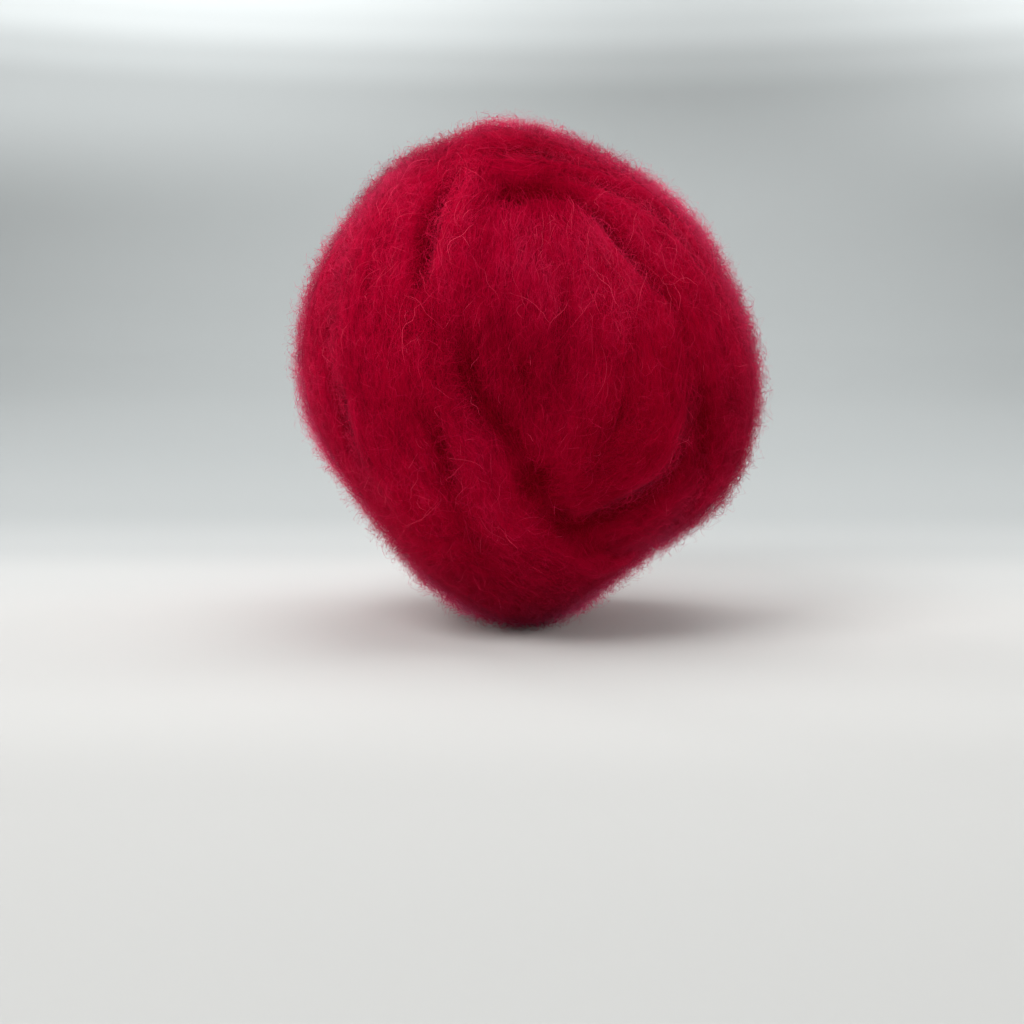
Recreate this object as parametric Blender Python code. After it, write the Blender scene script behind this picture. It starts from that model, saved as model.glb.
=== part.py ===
"""A ball of wool roving: one loose band of combed wool wound by hand on itself.

The ball is a stretched sphere that stands on a small flat spot. Each wrap of the band is a closed route
round the sphere with a rounded cross-section. Later wraps lie higher and cover the earlier ones, and furrows
run where the wraps part or turn over one another.

Directions are given as on a globe: azimuth 0 is the front (-Y), azimuth 90 the right side (+X), and
elevation 90 the crown (+Z). The finished ball stands on Z = 0 with the middle of its box at X = Y = 0.
"""

from collections import namedtuple

import bmesh
import bpy
import numpy as np

MM = 0.001

# Driving dimensions, in millimetres, with the lean of the whole winding in degrees
HALF_WIDTH = 44.9
HALF_DEPTH = 44.5
HALF_HEIGHT = 48.7
FLAT_DROP = 47.0
EDGE_DROP = 2.2
BLEND = 0.5
PROFILE_POWER = 2.6
SIDE_STEEPNESS = 4.0
LEAN = 4.5

# The first windings, which show only where the wraps above part
UNDER_WRAPS = 8
UNDER_HALF_WIDTH = 10.5
UNDER_LIFT = -1.6
WINDING_POLE = (-6.0, 43.0)

# Fineness of the surface and of the routes
CUTS_ALONG_EDGE = 28
STEPS_PER_STATION = 16
ROUTE_FOCUS = 500.0
RIM_SNAP = 0.7

Wrap = namedtuple("Wrap", "name half_widths lift route")
Crease = namedtuple("Crease", "name width height route")
Swell = namedtuple("Swell", "name azimuth elevation spread height")

# Half widths and lift in millimetres, and the route's stations as azimuth and elevation in degrees. The half
# widths go from station to station, and one alone serves the whole wrap.
WRAPS = (
    Wrap("low right", (8.5,), -1.3, (
        (80, -22), (70, -41), (55, -60), (-60, -82), (-125, -50), (-138, -15), (-148, 20), (-170, 52),
        (120, 70), (94, 48), (86, 12))),
    Wrap("lower cross", (8.4,), -1.1, (
        (66, -10), (61, -24), (49, -37), (29, -45), (8, -48), (-25, -50), (-75, -50), (-130, -36),
        (-170, -14), (140, 4), (100, 6))),
    Wrap("left rim", (9.5,), -0.4, (
        (-90, 68), (-84, 42), (-77, 20), (-73, 0), (-66, -20), (-54, -42), (-20, -70), (110, -58),
        (112, -20), (110, 15), (112, 48), (150, 76))),
    Wrap("right rim", (9.0,), -0.4, (
        (98, 62), (92, 32), (92, 2), (98, -28), (118, -56), (-140, -70), (-108, -40), (-98, -8),
        (-100, 26), (-115, 56), (170, 80))),
    Wrap("deep rib", (11.0,), -0.3, (
        (-5, 48), (-4, 22), (-4, 5), (-3, -10), (2, -26), (12, -48), (60, -78), (160, -52), (172, -20),
        (176, 14), (-178, 46), (-120, 80))),
    Wrap("middle rib", (7.8,), -0.3, (
        (12, 46), (17, 25), (16, 8), (14, -6), (9, -18), (1, -29), (-14, -40), (-50, -52), (-120, -54),
        (-155, -26), (-163, 6), (-170, 38), (165, 68), (40, 74))),
    Wrap("right rib", (9.2, 9.0, 8.8, 8.4, 8.2, 8.6, 9.2, 9.2, 9.2, 9.2, 9.2, 9.2, 9.2, 9.2), -0.2, (
        (20, 44), (30, 24), (34, 6), (35, -8), (30, -19), (19, -26), (4, -29), (-14, -35),
        (-60, -44), (-112, -34), (-142, -6), (-158, 26), (178, 56), (80, 76))),
    Wrap("left", (12.5,), -0.1, (
        (-42, 60), (-46, 40), (-44, 20), (-41, 0), (-37, -15), (-29, -32), (-12, -52), (60, -74),
        (130, -48), (146, -14), (156, 18), (172, 48), (-130, 76))),
    Wrap("sweep", (5.4, 5.0, 5.0, 5.0, 6.2, 7.6, 7.8, 7.6, 7.6, 7.6, 7.6, 7.6, 7.0, 6.0), 0.5, (
        (-20, 50), (-23, 30), (-22, 8), (-19, -8), (-12, -20), (-6, -34), (8, -46), (34, -58), (78, -56),
        (110, -38), (130, -10), (142, 20), (158, 50), (-140, 74))),
    Wrap("crown", (9.8,), 0.8, (
        (-46, 70), (-8, 59), (20, 54), (38, 39), (48, 22), (54, 8), (64, -8), (73, -26),
        (98, -54), (-170, -66), (-140, -34), (-130, 0), (-118, 34), (-92, 60))),
)

# Ridges, and furrows where the height is below nothing: millimetres, and stations in degrees
CREASES = (
    Crease("left slit", 2.4, -2.8, ((-30, 46), (-30, 38), (-29.5, 30), (-28.5, 23), (-28, 17))),
    Crease("left bridge", 2.4, 1.1, ((-28, 18), (-28.5, 8), (-27.5, -1), (-26, -10))),
    Crease("left filling", 4.0, 0.6, ((-32, 22), (-32.5, 9), (-31.5, -2), (-29, -12))),
    Crease("sweep shoulder", 3.0, -0.6, (
        (-26, 46), (-26.5, 34), (-26, 22), (-25.5, 10), (-24, -2), (-22, -10))),
    Crease("upper bridge", 2.4, 1.2, ((-19, 46), (-17, 38), (-15.5, 29), (-15, 20), (-15.5, 12), (-16.5, 3))),
    Crease("crown edge", 2.4, -0.4, (
        (-8, 42), (8, 43), (20, 40), (28, 30), (36, 19), (41, 8), (51, -3), (58, -20))),
    Crease("crown edge deep", 2.4, -1.4, ((14, 42), (23, 34), (26, 29), (30, 24), (36, 16))),
    Crease("crown bridge", 3.0, 0.7, ((36, 14), (41, 6), (48, -2), (54, -10))),
    Crease("crown fold", 2.4, -1.4, (
        (2, 46), (15, 48), (25, 46), (35, 42), (44, 37), (51, 28), (56, 18), (61, 6))),
    Crease("crown back", 2.4, -1.8, ((-18, 55), (0, 57), (14, 56), (27, 53), (38, 48))),
    Crease("rib crease", 2.4, -2.0, (
        (45, -4), (44, -13), (44, -20), (40, -27), (31, -31), (21, -35), (13, -36), (6, -32), (1, -25))),
    Crease("eye lip", 2.4, -0.6, ((-10, 42), (0, 42.5), (9, 41.5), (18, 40))),
    Crease("sweep edge", 2.8, -1.6, ((-17, 13), (-16, 5), (-13.5, -4), (-8, -11), (-3, -17), (3, -25))),
    Crease("sweep edge low", 2.8, -0.7, ((4, -28), (12, -37), (24, -45), (40, -50))),
    Crease("sweep heel", 2.4, -1.5, ((-22.5, -8), (-21.5, -15), (-21, -22), (-21, -29))),
    Crease("sweep heel low", 3.0, -0.8, ((-22, -24), (-20, -33), (-16, -43), (-8, -52))),
    Crease("sweep crest", 5.0, 1.2, ((-20, -4), (-13, -20), (-6, -32), (6, -44), (28, -54))),
    Crease("rib parting", 2.4, 0.4, ((23, 20), (23, 4), (22, -14))),
    Crease("deep rib edge", 2.4, -0.6, ((10, 28), (10, 14), (8, 2), (6, -8))),
    Crease("left rim edge", 2.6, -1.7, ((-54.5, -1), (-54, -8), (-53.5, -15), (-52, -23))),
)

# Where the whole ball stands proud of the stretched sphere or is pressed in: degrees and millimetres
SWELLS = (
    Swell("crown knot", -86, 80.5, 4, 2.2),
    Swell("crown", -90, 81, 12, -1.5),
    Swell("left of crown", -52, 68, 9, -1.5),
    Swell("right of crown", 46, 66, 13, -2.2),
    Swell("back of crown", 90, 76, 11, -1.8),
    Swell("left shoulder", -90, 68, 13, -2.3),
    Swell("left flank", -85, 40, 14, -1.5),
    Swell("right flank", 90, 24, 20, -1.5),
    Swell("right shoulder", 90, 54, 30, -3.4),
    Swell("lower left hollow", -88, -43, 25, -6.8),
    Swell("lower right hollow", 88, -59, 26, -7.2),
    Swell("foot", 0, -94, 36, 1.4),
    Swell("right side filling", 72, 38, 10, 1.0),
    Swell("left side filling", -115, -7, 9, 1.0),
    Swell("winding eye", -5, 42, 4, -2.0),
    Swell("front dent", -3, -4, 12, -1.4),
    Swell("rib foot dent", 2, -25, 5, -1.9),
)

WOOL = dict(colour=(0.305, 0.004, 0.022, 1.0), roughness=0.92, metallic=0.0)


def clear_scene():
    """Remove every object, so that the part is alone in the file."""
    for thing in list(bpy.data.objects):
        bpy.data.objects.remove(thing, do_unlink=True)


def unit(vectors):
    """Each vector divided by its length."""
    return vectors / np.linalg.norm(vectors, axis=-1, keepdims=True)


def heading(azimuth, elevation):
    """The unit vector that points to a place on the globe, from angles in degrees, with the lean added."""
    turn = np.radians(azimuth)
    rise = np.radians(elevation)
    right = np.cos(rise) * np.sin(turn)
    back = -np.cos(rise) * np.cos(turn)
    up = np.sin(rise)
    tilt = np.radians(LEAN)
    leant_back = back * np.cos(tilt) + up * np.sin(tilt)
    leant_up = up * np.cos(tilt) - back * np.sin(tilt)
    return np.stack((right, leant_back, leant_up), axis=-1)


def smooth_route(before, here, after, beyond):
    """A Catmull-Rom curve on the unit sphere from each station to the one after."""
    share = (np.arange(STEPS_PER_STATION) / STEPS_PER_STATION)[None, :, None]
    before, here, after, beyond = (side[:, None, :] for side in (before, here, after, beyond))
    curve = 0.5 * (
        2.0 * here
        + (after - before) * share
        + (2.0 * before - 5.0 * here + 4.0 * after - beyond) * share**2
        + (3.0 * here - before - 3.0 * after + beyond) * share**3
    )
    return unit(curve.reshape(-1, 3))


def closed_route(stations):
    """A closed curve through all its stations."""
    return smooth_route(
        np.roll(stations, 1, axis=0), stations, np.roll(stations, -1, axis=0), np.roll(stations, -2, axis=0))


def open_route(stations):
    """A curve from the first station to the last, each of which counts twice."""
    padded = np.concatenate((stations[:1], stations, stations[-1:]))
    return smooth_route(padded[:-3], padded[1:-2], padded[2:-1], padded[3:])


def great_circle(pole, turn):
    """Stations of a circle right round the sphere through a pole and its opposite, turned about the pole."""
    middle = heading(*pole)
    right = unit(np.cross((0.0, 0.0, 1.0), middle))
    up = np.cross(middle, right)
    outward = right * np.cos(turn) + up * np.sin(turn)
    angles = np.arange(12) * np.pi / 6.0
    return middle * np.cos(angles)[:, None] + outward * np.sin(angles)[:, None]


def wrap_height(spots, stations, half_widths, lift):
    """Height of one wrap over the stretched sphere at each spot, in millimetres.

    The distance across the wrap is the mean over the route's points near the spot. The cross-section is a
    flattened half ellipse: lift at its middle, and EDGE_DROP lower at its edges, past which it falls steeply.
    """
    route = closed_route(stations)
    count = len(stations)
    places = np.arange(len(route)) / STEPS_PER_STATION
    widths = np.interp(places, np.arange(count), np.resize(half_widths, count), period=count)
    along = unit(np.roll(route, -1, axis=0) - np.roll(route, 1, axis=0))
    sideways = unit(np.cross(route, along))
    nearness = spots @ route.T
    weight = np.exp((nearness - nearness.max(axis=1, keepdims=True)) * ROUTE_FOCUS)
    weight /= weight.sum(axis=1, keepdims=True)
    across = (weight * (spots @ sideways.T)).sum(axis=1)
    offset = np.abs(across) * HALF_WIDTH / (weight @ widths)
    crown = np.sqrt(np.clip(1.0 - offset**PROFILE_POWER, 0.0, 1.0))
    beyond = np.clip(offset - 1.0, 0.0, None)
    return lift - EDGE_DROP * (1.0 - crown + SIDE_STEEPNESS * beyond)


def wound_relief(spots):
    """Height of the topmost wrap at each spot: a soft maximum over all the wraps."""
    heights = []
    for number in range(UNDER_WRAPS):
        stations = great_circle(WINDING_POLE, np.pi * number / UNDER_WRAPS)
        heights.append(wrap_height(spots, stations, (UNDER_HALF_WIDTH,), UNDER_LIFT))
    for wrap in WRAPS:
        azimuths, elevations = zip(*wrap.route)
        heights.append(wrap_height(spots, heading(azimuths, elevations), wrap.half_widths, wrap.lift))
    heights = np.array(heights)
    top = heights.max(axis=0)
    return top + BLEND * np.log(np.exp((heights - top) / BLEND).sum(axis=0))


def crease_height(spots):
    """Sum of the creases: each is a row of bell-shaped dips or swells along its route, highest halfway."""
    total = np.zeros(len(spots))
    for crease in CREASES:
        azimuths, elevations = zip(*crease.route)
        route = open_route(heading(azimuths, elevations))
        spacing = np.linalg.norm(np.gradient(route, axis=0), axis=1)
        width = crease.width / HALF_WIDTH
        bells = np.exp((spots @ route.T - 1.0) * 2.0 / width**2)
        fade = np.sin(np.linspace(0.0, np.pi, len(route)))
        total += crease.height * (bells @ (spacing * fade)) / (width * np.sqrt(np.pi))
    return total


def swell_height(spots):
    """Sum of the broad swells and hollows, each a bell curve of the angle from its middle."""
    total = np.zeros(len(spots))
    for swell in SWELLS:
        middle = heading(swell.azimuth, swell.elevation)
        angle = np.degrees(np.arccos(np.clip(spots @ middle, -1.0, 1.0)))
        total += swell.height * np.exp(-((angle / swell.spread) ** 2))
    return total


def ball_surface(spots):
    """The ball's surface over each spot of the unit sphere, in millimetres from the winding's middle."""
    height = wound_relief(spots) + crease_height(spots) + swell_height(spots)
    growth = 1.0 + height / HALF_WIDTH
    return spots * np.array((HALF_WIDTH, HALF_DEPTH, HALF_HEIGHT)) * growth[:, None]


def even_sphere():
    """A subdivided cube rounded into a sphere of nearly equal squares."""
    mesh = bmesh.new()
    bmesh.ops.create_cube(mesh, size=2.0)
    bmesh.ops.subdivide_edges(mesh, edges=mesh.edges[:], cuts=CUTS_ALONG_EDGE, use_grid_fill=True)
    corners = np.array([vert.co for vert in mesh.verts])
    return mesh, unit(np.tan(corners * np.pi / 4.0))


def cut_flat_spot(mesh):
    """Slice off the bottom at the height of the flat spot and close it with one level face."""
    floor = -FLAT_DROP * MM
    bmesh.ops.bisect_plane(
        mesh, geom=mesh.verts[:] + mesh.edges[:] + mesh.faces[:], dist=RIM_SNAP * MM,
        plane_co=(0.0, 0.0, floor), plane_no=(0.0, 0.0, 1.0), use_snap_center=True, clear_inner=True)
    rim = [edge for edge in mesh.edges if edge.is_boundary]
    bmesh.ops.edgeloop_fill(mesh, edges=rim)


def stand_on_floor(mesh):
    """Move the ball so that its box stands on Z = 0 with its middle at X = Y = 0."""
    places = np.array([vert.co for vert in mesh.verts])
    low = places.min(axis=0)
    high = places.max(axis=0)
    shift = (-(low[0] + high[0]) / 2.0, -(low[1] + high[1]) / 2.0, -low[2])
    bmesh.ops.translate(mesh, verts=mesh.verts[:], vec=shift)


def wool_material():
    """Matt crimson wool."""
    material = bpy.data.materials.new("crimson_wool")
    material.use_nodes = True
    shader = material.node_tree.nodes["Principled BSDF"]
    shader.inputs["Base Color"].default_value = WOOL["colour"]
    shader.inputs["Roughness"].default_value = WOOL["roughness"]
    shader.inputs["Metallic"].default_value = WOOL["metallic"]
    return material


def wound_ball():
    """The ball as one closed solid."""
    mesh, spots = even_sphere()
    for vert, place in zip(mesh.verts, ball_surface(spots) * MM):
        vert.co = place
    cut_flat_spot(mesh)
    stand_on_floor(mesh)
    bmesh.ops.recalc_face_normals(mesh, faces=mesh.faces[:])
    data = bpy.data.meshes.new("wound_ball")
    mesh.to_mesh(data)
    mesh.free()
    data.shade_smooth()
    data.materials.append(wool_material())
    ball = bpy.data.objects.new("wound_ball", data)
    bpy.context.collection.objects.link(ball)
    return ball


clear_scene()
wound_ball()
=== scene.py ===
"""A ball of crimson wool roving: its surface, fibres and studio, as an add-on for one part.

The frame's solid gives the ball's place. The same winding is worked out here at full fineness: a body with
the strands of every wrap in relief, combed fibres that follow the wraps, fuzz that stands off them, and loose
single fibres that lie over them. All of it comes from the routes of the wraps, which are closed curves round
a stretched sphere. Directions are given as on a globe: azimuth 0 is the front (-Y), azimuth 90 the right side
(+X), and elevation 90 the crown (+Z).
"""

from collections import namedtuple
from functools import lru_cache

import bpy
import numpy as np
from bpy.props import FloatProperty, FloatVectorProperty, PointerProperty
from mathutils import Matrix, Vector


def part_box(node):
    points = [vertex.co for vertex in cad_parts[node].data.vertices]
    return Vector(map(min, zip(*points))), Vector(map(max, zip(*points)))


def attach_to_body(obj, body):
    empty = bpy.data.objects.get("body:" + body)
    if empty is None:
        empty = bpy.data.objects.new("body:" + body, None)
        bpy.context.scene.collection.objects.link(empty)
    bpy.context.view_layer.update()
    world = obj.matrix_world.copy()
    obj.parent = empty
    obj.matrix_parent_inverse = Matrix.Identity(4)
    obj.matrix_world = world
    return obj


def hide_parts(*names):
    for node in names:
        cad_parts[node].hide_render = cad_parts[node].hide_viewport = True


bl_info = {
    "name": "Wool Roving Ball",
    "version": (1, 0, 0),
    "blender": (4, 5, 0),
    "location": "View3D > Sidebar > Wool",
    "description": "Winds a ball of loose combed wool and sets it in a pale studio",
    "category": "Add Mesh",
}

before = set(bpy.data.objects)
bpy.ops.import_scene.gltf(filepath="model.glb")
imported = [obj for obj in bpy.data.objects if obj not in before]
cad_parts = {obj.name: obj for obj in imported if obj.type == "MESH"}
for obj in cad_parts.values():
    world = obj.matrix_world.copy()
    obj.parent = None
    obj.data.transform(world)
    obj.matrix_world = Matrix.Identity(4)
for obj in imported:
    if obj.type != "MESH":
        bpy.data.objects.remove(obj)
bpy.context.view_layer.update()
CAD_LOW, CAD_HIGH = (np.array(corner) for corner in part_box("wound_ball"))

MM = 0.001

# The stretched sphere that the band is wound on, in millimetres, and the lean of the whole winding in degrees
AXES = np.array((44.9, 44.5, 48.7))
RADIUS = AXES[0]
FLAT_DROP = 47.0
LEAN = 4.5

# The cross-section of a wrap, in millimetres
EDGE_DROP = 2.2
BLEND = 0.5
PROFILE_POWER = 2.6
SIDE_STEEPNESS = 4.0

# The first windings, which show only where the wraps above part
UNDER_WRAPS = 8
UNDER_HALF_WIDTH = 10.5
UNDER_LIFT = -1.6
WINDING_POLE = (-6.0, 43.0)

# Fineness of the routes: stations of a whole circle, steps between stations, and how sharply a place on the
# sphere is tied to the nearest of them
CIRCLE_STATIONS = 12
STEPS_PER_STATION = 16
ROUTE_FOCUS = 500.0

Wrap = namedtuple("Wrap", "name half_widths lift route")
Crease = namedtuple("Crease", "name width height route")
Swell = namedtuple("Swell", "name azimuth elevation spread height")
Band = namedtuple("Band", "route sideways arcs widths lift length")
Skin = namedtuple("Skin", "quads points normals top layers height furrow owner across along grid")

# Half widths and lift in millimetres, and the route's stations as azimuth and elevation in degrees. The half
# widths go from station to station, and one alone serves the whole wrap.
WRAPS = (
    Wrap("low right", (8.5,), -1.3, (
        (80, -22), (70, -41), (55, -60), (-60, -82), (-125, -50), (-138, -15), (-148, 20), (-170, 52),
        (120, 70), (94, 48), (86, 12))),
    Wrap("lower cross", (8.4,), -1.1, (
        (66, -10), (61, -24), (49, -37), (29, -45), (8, -48), (-25, -50), (-75, -50), (-130, -36),
        (-170, -14), (140, 4), (100, 6))),
    Wrap("left rim", (9.5,), -0.4, (
        (-90, 68), (-84, 42), (-77, 20), (-73, 0), (-66, -20), (-54, -42), (-20, -70), (110, -58),
        (112, -20), (110, 15), (112, 48), (150, 76))),
    Wrap("right rim", (9.0,), -0.4, (
        (98, 62), (92, 32), (92, 2), (98, -28), (118, -56), (-140, -70), (-108, -40), (-98, -8),
        (-100, 26), (-115, 56), (170, 80))),
    Wrap("deep rib", (11.0,), -0.3, (
        (-5, 48), (-4, 22), (-4, 5), (-3, -10), (2, -26), (12, -48), (60, -78), (160, -52), (172, -20),
        (176, 14), (-178, 46), (-120, 80))),
    Wrap("middle rib", (7.8,), -0.3, (
        (12, 46), (17, 25), (16, 8), (14, -6), (9, -18), (1, -29), (-14, -40), (-50, -52), (-120, -54),
        (-155, -26), (-163, 6), (-170, 38), (165, 68), (40, 74))),
    Wrap("right rib", (9.2, 9.0, 8.8, 8.4, 8.2, 8.6, 9.2, 9.2, 9.2, 9.2, 9.2, 9.2, 9.2, 9.2), -0.2, (
        (20, 44), (30, 24), (34, 6), (35, -8), (30, -19), (19, -26), (4, -29), (-14, -35),
        (-60, -44), (-112, -34), (-142, -6), (-158, 26), (178, 56), (80, 76))),
    Wrap("left", (12.5,), -0.1, (
        (-42, 60), (-46, 40), (-44, 20), (-41, 0), (-37, -15), (-29, -32), (-12, -52), (60, -74),
        (130, -48), (146, -14), (156, 18), (172, 48), (-130, 76))),
    Wrap("sweep", (5.4, 5.0, 5.0, 5.0, 6.2, 7.6, 7.8, 7.6, 7.6, 7.6, 7.6, 7.6, 7.0, 6.0), 0.5, (
        (-20, 50), (-23, 30), (-22, 8), (-19, -8), (-12, -20), (-6, -34), (8, -46), (34, -58), (78, -56),
        (110, -38), (130, -10), (142, 20), (158, 50), (-140, 74))),
    Wrap("crown", (9.8,), 0.8, (
        (-46, 70), (-8, 59), (20, 54), (38, 39), (48, 22), (54, 8), (64, -8), (73, -26),
        (98, -54), (-170, -66), (-140, -34), (-130, 0), (-118, 34), (-92, 60))),
)

# Ridges, and furrows where the height is below nothing: millimetres, and stations in degrees
CREASES = (
    Crease("left slit", 2.2, -3.0, ((-30, 46), (-30, 38), (-29.5, 30), (-28.5, 23), (-28, 17))),
    Crease("left bridge", 2.4, 1.1, ((-28, 18), (-28.5, 8), (-27.5, -1), (-26, -10))),
    Crease("left filling", 4.0, 0.6, ((-32, 22), (-32.5, 9), (-31.5, -2), (-29, -12))),
    Crease("sweep shoulder", 3.0, -0.6, (
        (-26, 46), (-26.5, 34), (-26, 22), (-25.5, 10), (-24, -2), (-22, -10))),
    Crease("upper bridge", 2.4, 1.2, ((-19, 46), (-17, 38), (-15.5, 29), (-15, 20), (-15.5, 12), (-16.5, 3))),
    Crease("crown edge", 2.2, -0.4, (
        (-8, 42), (8, 43), (20, 40), (28, 30), (36, 19), (41, 8), (51, -3), (58, -20))),
    Crease("crown edge deep", 1.5, -2.2, ((14, 42), (23, 34), (26, 29), (30, 24), (36, 16))),
    Crease("crown bridge", 3.0, 0.7, ((36, 14), (41, 6), (48, -2), (54, -10))),
    Crease("crown fold", 2.0, -1.7, (
        (2, 46), (15, 48), (25, 46), (35, 42), (44, 37), (51, 28), (56, 18), (61, 6))),
    Crease("crown back", 2.4, -1.8, ((-18, 55), (0, 57), (14, 56), (27, 53), (38, 48))),
    Crease("rib crease", 2.4, -2.0, (
        (45, -4), (44, -13), (44, -20), (40, -27), (31, -31), (21, -35), (13, -36), (6, -32), (1, -25))),
    Crease("eye lip", 1.6, -0.9, ((-10, 42), (0, 42.5), (9, 41.5), (18, 40))),
    Crease("sweep edge", 2.8, -1.6, ((-17, 13), (-16, 5), (-13.5, -4), (-8, -11), (-3, -17), (3, -25))),
    Crease("sweep edge low", 2.8, -0.7, ((4, -28), (12, -37), (24, -45), (40, -50))),
    Crease("sweep heel", 2.4, -1.5, ((-22.5, -8), (-21.5, -15), (-21, -22), (-21, -29))),
    Crease("sweep heel low", 3.0, -0.8, ((-22, -24), (-20, -33), (-16, -43), (-8, -52))),
    Crease("sweep crest", 5.0, 1.2, ((-20, -4), (-13, -20), (-6, -32), (6, -44), (28, -54))),
    Crease("rib parting", 2.4, 0.4, ((23, 20), (23, 4), (22, -14))),
    Crease("deep rib edge", 1.7, -0.8, ((10, 28), (10, 14), (8, 2), (6, -8))),
    Crease("left rim edge", 2.6, -1.7, ((-54.5, -1), (-54, -8), (-53.5, -15), (-52, -23))),
)

# Where the whole ball stands proud of the stretched sphere or is pressed in: degrees and millimetres
SWELLS = (
    Swell("crown knot", -86, 80.5, 4, 2.2),
    Swell("crown", -90, 81, 12, -1.5),
    Swell("left of crown", -52, 68, 9, -1.5),
    Swell("right of crown", 46, 66, 13, -2.2),
    Swell("back of crown", 90, 76, 11, -1.8),
    Swell("left shoulder", -90, 68, 13, -2.3),
    Swell("left flank", -85, 40, 14, -1.5),
    Swell("right flank", 90, 24, 20, -1.5),
    Swell("right shoulder", 90, 54, 30, -3.4),
    Swell("lower left hollow", -88, -43, 25, -6.8),
    Swell("lower right hollow", 88, -59, 26, -7.2),
    Swell("foot", 0, -94, 36, 1.4),
    Swell("right side filling", 72, 38, 10, 1.0),
    Swell("left side filling", -115, -7, 9, 1.0),
    Swell("winding eye", -5, 42, 4, -2.0),
    Swell("front dent", -3, -4, 12, -1.4),
    Swell("rib foot dent", 2, -25, 5, -1.9),
)

# Broad patches of painted light and shade: mostly painted shade where the ball is sheltered or hollow, at its
# right side and underneath, and painted light at the upper left side and on the ribs. Degrees, and a share of
# the dye's range in place of a height
PAINTED_LIGHT_AND_SHADE = (
    Swell("left cheek", -42, 30, 26, -0.04),
    Swell("upper left side", -68, 40, 18, 0.15),
    Swell("left side", -40, -6, 18, -0.13),
    Swell("crown", 6, 56, 16, -0.26),
    Swell("winding eye", 5, 41.5, 6.5, -0.24),
    Swell("left slit", -29.5, 29, 5, -0.10),
    Swell("upper rib", 4, 25, 13, 0.14),
    Swell("right ribs", 24, 23, 11, 0.11),
    Swell("sheltered middle", -8, -3, 17, -0.26),
    Swell("sweep foot", -11, -7, 6, 0.13),
    Swell("below the ribs", 20, -32, 19, -0.19),
    Swell("right side", 57, -12, 22, -0.25),
    Swell("underside", 0, -90, 48, -0.22),
)

# The body lies this much below the finished surface, which the fibres make up, in millimetres. Near the flat
# spot they are pressed flat, over an angle in degrees. The body's grids have so many squares along each edge.
FIBRE_DEPTH = 1.5
PRESSED_SPREAD = 20.0
CUTS_ALONG_EDGE = 84

# Strands and lumps within a wrap: waves across the band that run on along it, in millimetres. A wave's phase
# wanders by so many radians, and its height swings by a share about a mean one, over a shorter length.
Strand = namedtuple("Strand", "across along height")
STRANDS = (
    Strand(8.5, 60.0, 0.14), Strand(5.6, 44.0, 0.09), Strand(3.4, 30.0, 0.05), Strand(2.3, 22.0, 0.03),
)
LUMPS = (Strand(13.0, 16.0, 0.09), Strand(8.0, 10.0, 0.06), Strand(5.0, 6.5, 0.04), Strand(3.4, 4.0, 0.02))
WANDER = 1.3
FADE_MEAN = 0.6
FADE_SWING = 0.4
FADE_LENGTH = 0.7

# A furrow lies below the average of its surroundings, which is taken over so many rounds. It counts in units
# of a depth in millimetres, between two limits.
FURROW_SPREAD = 60
FURROW_DEPTH = 1.0
FURROW_LIMITS = (-0.5, 1.0)

# A wrap is at the surface where it comes within this of the highest one, in millimetres
LAYER_DEPTH = 0.4

SEED = 20
LUMP_SEED = 100


def unit(vectors):
    """Each vector divided by its length."""
    return vectors / np.linalg.norm(vectors, axis=-1, keepdims=True)


def heading(azimuth, elevation):
    """The unit vector that points to a place on the globe, from angles in degrees, with the lean added."""
    turn = np.radians(azimuth)
    rise = np.radians(elevation)
    right = np.cos(rise) * np.sin(turn)
    back = -np.cos(rise) * np.cos(turn)
    up = np.sin(rise)
    tilt = np.radians(LEAN)
    leant_back = back * np.cos(tilt) + up * np.sin(tilt)
    leant_up = up * np.cos(tilt) - back * np.sin(tilt)
    return np.stack((right, leant_back, leant_up), axis=-1)


def smooth_route(before, here, after, beyond):
    """A Catmull-Rom curve on the unit sphere from each station to the one after."""
    share = (np.arange(STEPS_PER_STATION) / STEPS_PER_STATION)[None, :, None]
    before, here, after, beyond = (side[:, None, :] for side in (before, here, after, beyond))
    curve = 0.5 * (
        2.0 * here
        + (after - before) * share
        + (2.0 * before - 5.0 * here + 4.0 * after - beyond) * share**2
        + (3.0 * here - before - 3.0 * after + beyond) * share**3
    )
    return unit(curve.reshape(-1, 3))


def closed_route(stations):
    """A closed curve through all its stations."""
    return smooth_route(
        np.roll(stations, 1, axis=0), stations, np.roll(stations, -1, axis=0), np.roll(stations, -2, axis=0))


def open_route(stations):
    """A curve from the first station to the last, each of which counts twice."""
    padded = np.concatenate((stations[:1], stations, stations[-1:]))
    return smooth_route(padded[:-3], padded[1:-2], padded[2:-1], padded[3:])


def great_circle(pole, turn):
    """Stations of a circle right round the sphere through a pole and its opposite, turned about the pole."""
    middle = heading(*pole)
    right = unit(np.cross((0.0, 0.0, 1.0), middle))
    up = np.cross(middle, right)
    outward = right * np.cos(turn) + up * np.sin(turn)
    angles = np.arange(CIRCLE_STATIONS) * 2.0 * np.pi / CIRCLE_STATIONS
    return middle * np.cos(angles)[:, None] + outward * np.sin(angles)[:, None]


def lay_band(stations, half_widths, lift):
    """A wrap's route with its sideways directions, the distance run at each point and its half widths."""
    route = closed_route(stations)
    count = len(stations)
    places = np.arange(len(route)) / STEPS_PER_STATION
    widths = np.interp(places, np.arange(count), np.resize(half_widths, count), period=count)
    ahead = np.roll(route, -1, axis=0)
    along = unit(ahead - np.roll(route, 1, axis=0))
    sideways = unit(np.cross(route, along))
    steps = np.linalg.norm(ahead - route, axis=1) * RADIUS
    arcs = np.concatenate(((0.0,), np.cumsum(steps)))
    return Band(route, sideways, arcs, widths, lift, arcs[-1])


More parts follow.
